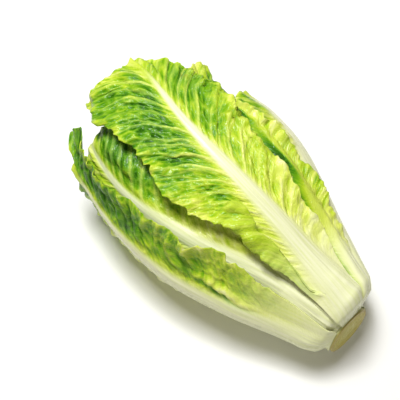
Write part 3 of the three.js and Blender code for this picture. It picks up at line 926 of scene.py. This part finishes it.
def tissue_group():
    tree = bpy.data.node_groups.new("leaf tissue", "ShaderNodeTree")
    for name, default in (("Veinlets", 1.0), ("Greenness", 1.0), ("Gloss", 0.34)):
        socket = tree.interface.new_socket(name, in_out="INPUT", socket_type="NodeSocketFloat")
        socket.default_value = default
    for name, kind in (("Color", "NodeSocketColor"), ("Roughness", "NodeSocketFloat"),
                       ("Height", "NodeSocketFloat")):
        tree.interface.new_socket(name, in_out="OUTPUT", socket_type=kind)
    given = tree.nodes.new("NodeGroupInput")
    made = tree.nodes.new("NodeGroupOutput")

    marks = read_mark(tree, "marks")
    mark = wire(tree, "ShaderNodeSeparateColor", {"Color": marks.outputs["Color"]})
    rib, vein, tone = (mark.outputs[name] for name in ("Red", "Green", "Blue"))
    lay = wire(tree, "ShaderNodeSeparateXYZ", {"Vector": read_mark(tree, "lay").outputs["Vector"]})
    across, length, slant = (lay.outputs[name] for name in ("X", "Y", "Z"))
    distance = math_node(tree, "ABSOLUTE", across)

    # fine veinlets between the side veins, and soft streaks that run with them
    spot = stretched(tree, math_node(tree, "MULTIPLY", slant, 0.42),
                     math_node(tree, "MULTIPLY", distance, 0.3))
    veinlets = wire(tree, "ShaderNodeTexVoronoi", {"Vector": spot, "Scale": 1.0, "Randomness": 0.9},
                    feature="DISTANCE_TO_EDGE")
    veinlet = spread_over(tree, veinlets.outputs["Distance"], 0.0, 0.16, 1.0, 0.0)
    run = stretched(tree, math_node(tree, "MULTIPLY", slant, 0.5),
                    math_node(tree, "MULTIPLY", distance, 0.055))
    streaks = noise(tree, run, 1.0, 3.0)
    cloud = noise(tree, stretched(tree, across, length), 0.09, 4.0)

    # how green the blade is here
    shade = math_node(tree, "MULTIPLY", tone, given.outputs["Greenness"])
    soften = math_node(tree, "MULTIPLY_ADD", shade, 0.8)
    soften.node.inputs[2].default_value = 0.12
    streaky = math_node(tree, "MULTIPLY", math_node(tree, "SUBTRACT", streaks, 0.5), soften)
    cloudy = math_node(tree, "MULTIPLY", math_node(tree, "SUBTRACT", cloud, 0.5), soften)
    green = math_node(tree, "ADD", shade, math_node(tree, "MULTIPLY", streaky, 0.75))
    green = math_node(tree, "ADD", green, math_node(tree, "MULTIPLY", cloudy, 0.5))
    fine = math_node(tree, "MULTIPLY", veinlet, given.outputs["Veinlets"])
    lighter = math_node(tree, "ADD", math_node(tree, "MULTIPLY", vein, 0.65),
                        math_node(tree, "MULTIPLY", fine, 0.14))
    green = math_node(tree, "MULTIPLY", green, math_node(tree, "SUBTRACT", 1.0, lighter))
    ramp = wire(tree, "ShaderNodeValToRGB", {"Fac": green})
    ramp.color_ramp.elements.remove(ramp.color_ramp.elements[1])
    for i, (at, colour) in enumerate(GREENS):
        stop = ramp.color_ramp.elements[0] if i == 0 else ramp.color_ramp.elements.new(at)
        stop.position = at
        stop.color = (*colour, 1)

    # veins, then the rib over them, then what has gone brown
    veined = blend_colour(tree, math_node(tree, "MULTIPLY", vein, 0.3), ramp.outputs["Color"], VEIN_COLOUR)
    strip = stretched(tree, math_node(tree, "MULTIPLY", across, 0.55),
                      math_node(tree, "MULTIPLY", length, 0.025))
    fibres = noise(tree, strip, 1.0, 4.0)
    streaked = spread_over(tree, fibres, 0.42, 0.72, 0.0, 0.75)
    whole = blend_colour(tree, rib, veined, blend_colour(tree, streaked, RIB_COLOUR, STREAK_COLOUR))
    speck = noise(tree, stretched(tree, across, length), 0.5, 5.0)
    rusty = math_node(tree, "MULTIPLY", marks.outputs["Alpha"], spread_over(tree, speck, 0.4, 0.6))
    tree.links.new(blend_colour(tree, rusty, whole, BROWN), made.inputs["Color"])

    gloss = math_node(tree, "ADD", given.outputs["Gloss"],
                      math_node(tree, "MULTIPLY", math_node(tree, "SUBTRACT", cloud, 0.5), 0.25))
    tree.links.new(gloss, made.inputs["Roughness"])
    height = math_node(tree, "MULTIPLY", fine, math_node(tree, "SUBTRACT", 1.0, rib))
    height = math_node(tree, "ADD", height, math_node(tree, "MULTIPLY", streaks, 0.6))
    height = math_node(tree, "ADD", height, math_node(tree, "MULTIPLY",
                                                      math_node(tree, "MULTIPLY", fibres, rib), 0.8))
    tree.links.new(height, made.inputs["Height"])
    return tree


TISSUE = tissue_group()

# %% [markdown]
# ## The two leaf materials
#
# Outer leaves are waxy and strongly veined. Heart leaves are thinner, paler and duller. Both use the
# same group, so a change to it changes the whole head. The veinlets and the fibres of the rib are
# shallow furrows in the skin, so the bump is inverted.

# %%
SKIN_SHINE = 0.2
SKIN_BUMP = 0.35 * MM


def leaf_material(name, veinlets, greenness, gloss):
    material = bpy.data.materials.new(name)
    material.use_nodes = True
    tree = material.node_tree
    shader = tree.nodes["Principled BSDF"]
    tissue = tree.nodes.new("ShaderNodeGroup")
    tissue.node_tree = TISSUE
    tissue.inputs["Veinlets"].default_value = veinlets
    tissue.inputs["Greenness"].default_value = greenness
    tissue.inputs["Gloss"].default_value = gloss
    bump = wire(tree, "ShaderNodeBump", {"Height": tissue.outputs["Height"], "Strength": 0.5,
                                         "Distance": SKIN_BUMP}, invert=True)
    tree.links.new(tissue.outputs["Color"], shader.inputs["Base Color"])
    tree.links.new(tissue.outputs["Roughness"], shader.inputs["Roughness"])
    tree.links.new(bump.outputs["Normal"], shader.inputs["Normal"])
    shader.inputs["Specular IOR Level"].default_value = SKIN_SHINE
    return material


OUTER_SKIN = leaf_material("outer leaf", veinlets=1.0, greenness=1.0, gloss=0.28)
HEART_SKIN = leaf_material("heart leaf", veinlets=0.6, greenness=0.9, gloss=0.4)
print("materials:", OUTER_SKIN.name, "and", HEART_SKIN.name)

# %% [markdown]
# ## All the leaves
#
# They are made from the outermost inwards. The order makes no difference to where a leaf lies, because
# each works out what is inside it from the table.

# %%
blades = []
for k in range(len(LEAVES)):
    blade = make_leaf(k)
    blade.data.materials.append(OUTER_SKIN if k < len(OUTER_LEAVES) else HEART_SKIN)
    blades.append(blade)
print("triangles:", sum(2 * len(blade.data.polygons) for blade in blades))

# %% [markdown]
# ## The stem
#
# The stem is a stalk that was cut with a slant. Its profile is spun round the axis of the head: out
# over the cut face, round the rim and along the side until it tapers inside the heart. The points near
# the cut are then moved along the head, which slants the face. It has dried a little, so its middle has
# sunk and its rim has gone brown.

# %%
STEM_STEPS = 96
FACE_RINGS = 14
SIDE_RINGS = 26
RIM_ROUND = 0.5
FACE_SINK = 0.5


def stem_profile():
    """Points (radius, distance from the cut) from the middle of the face to the tip of the stem."""
    face = [(BUTT_RADIUS * (i / FACE_RINGS) - RIM_ROUND * (i == FACE_RINGS), 0.0)
            for i in range(FACE_RINGS + 1)]
    side = [(float(stem_radius(s)), float(s)) for s in np.linspace(RIM_ROUND, STEM_LENGTH, SIDE_RINGS)]
    return face + side + [(0.0, float(STEM_LENGTH))]


stem_shape = bmesh.new()
profile_verts = [stem_shape.verts.new((s, radius, 0)) for radius, s in stem_profile()]
for first, second in zip(profile_verts, profile_verts[1:]):
    stem_shape.edges.new((first, second))
bmesh.ops.spin(stem_shape, geom=stem_shape.verts[:] + stem_shape.edges[:], cent=(0, 0, 0),
               axis=(1, 0, 0), dvec=(0, 0, 0), angle=2 * math.pi, steps=STEM_STEPS, use_merge=True)
bmesh.ops.remove_doubles(stem_shape, verts=stem_shape.verts[:], dist=0.01)
bmesh.ops.recalc_face_normals(stem_shape, faces=stem_shape.faces[:])
stem_mesh = bpy.data.meshes.new("stem_stalk")
stem_shape.to_mesh(stem_mesh)
stem_shape.free()

flat = np.empty(len(stem_mesh.vertices) * 3)
stem_mesh.vertices.foreach_get("co", flat)
s, y, z = flat.reshape(-1, 3).T
radius = np.hypot(y, z)
around = np.arctan2(y, z)
face = 1 - rise(s, 0, 1.5)
sink = FACE_SINK * (1 - rise(radius, 6, 16)) + 0.12 * ripples(y, z, 5, 61) + 0.1 * np.sin(radius * 3)
sink = sink * (s < 0.01) * (1 - rise(radius, BUTT_RADIUS - 2, BUTT_RADIUS - 0.5))
ridged = radius * (1 - 0.012 * (0.5 + 0.5 * ripples(around * 20, s, 9, 62)) * rise(radius, 4, 12))
place = np.stack([s + np.maximum(0, sink), ridged * np.sin(around), ridged * np.cos(around)], axis=-1)
place[:, 0] += cut_edge(place[:, 2]) * np.maximum(0, 1 - s / BUTT_LENGTH)
stem_mesh.vertices.foreach_set("co", settle(place).ravel())
brown = face * rise(radius, BUTT_RADIUS - 3.5, BUTT_RADIUS - 0.5)
add_marks(stem_mesh, np.stack([face, brown, s / STEM_LENGTH, np.ones_like(s)], axis=-1),
          np.stack([radius, s, around * 10], axis=-1))
stem_mesh.polygons.foreach_set("use_smooth", np.ones(len(stem_mesh.polygons), dtype=bool))
stem_mesh.update()
stem = bpy.data.objects.new("stem_stalk", stem_mesh)
bpy.context.scene.collection.objects.link(stem)
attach(stem, "root")
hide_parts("stem")
print("stem:", len(stem_mesh.polygons), "faces")

# %% [markdown]
# ## Cut stalk
#
# The cut face is olive with paler pith and faint rings, and browner towards the rim. The side is
# cream with green streaks that run along it.

# %%
PITH_COLOUR = (0.56, 0.53, 0.15, 1)
FACE_COLOUR = (0.50, 0.44, 0.07, 1)
RING_COLOUR = (0.36, 0.29, 0.035, 1)
BARK_COLOURS = [(0.74, 0.73, 0.42, 1), (0.50, 0.55, 0.18, 1)]
DRY_COLOUR = (0.40, 0.30, 0.08, 1)


def stem_material():
    material = bpy.data.materials.new("cut stalk")
    material.use_nodes = True
    tree = material.node_tree
    shader = tree.nodes["Principled BSDF"]
    mark = wire(tree, "ShaderNodeSeparateColor", {"Color": read_mark(tree, "marks").outputs["Color"]})
    part = wire(tree, "ShaderNodeSeparateXYZ", {"Vector": read_mark(tree, "lay").outputs["Vector"]})
    mottle = noise(tree, wire(tree, "ShaderNodeTexCoord", {}).outputs["Object"], 260.0, 5.0)
    warped = math_node(tree, "ADD", part.outputs["X"], math_node(tree, "MULTIPLY", mottle, 2.5))
    rings = math_node(tree, "SINE", math_node(tree, "MULTIPLY", warped, 2.6))
    ring = spread_over(tree, rings, -1.0, 1.0, 0.0, 0.45)
    pith = spread_over(tree, warped, 5.0, 15.0)
    cut = blend_colour(tree, pith, PITH_COLOUR, FACE_COLOUR)
    cut = blend_colour(tree, ring, cut, RING_COLOUR)
    run = stretched(tree, math_node(tree, "MULTIPLY", part.outputs["Z"], 0.35),
                    math_node(tree, "MULTIPLY", part.outputs["Y"], 0.05))
    fibres = noise(tree, run, 1.0, 4.0)
    bark = blend_colour(tree, fibres, *BARK_COLOURS)
    whole = blend_colour(tree, mark.outputs["Red"], bark, cut)
    edge = math_node(tree, "MULTIPLY", mark.outputs["Green"], math_node(tree, "ADD", mottle, 0.25))
    whole = blend_colour(tree, edge, whole, DRY_COLOUR)
    shader.inputs["Specular IOR Level"].default_value = 0.25
    tree.links.new(whole, shader.inputs["Base Color"])
    tree.links.new(spread_over(tree, mottle, 0.3, 0.7, 0.35, 0.6), shader.inputs["Roughness"])
    bump = wire(tree, "ShaderNodeBump", {
        "Height": math_node(tree, "ADD", mottle, math_node(tree, "MULTIPLY", ring, 0.6)),
        "Strength": 0.6, "Distance": 0.4 * MM})
    tree.links.new(bump.outputs["Normal"], shader.inputs["Normal"])
    return material


stem_mesh.materials.append(stem_material())
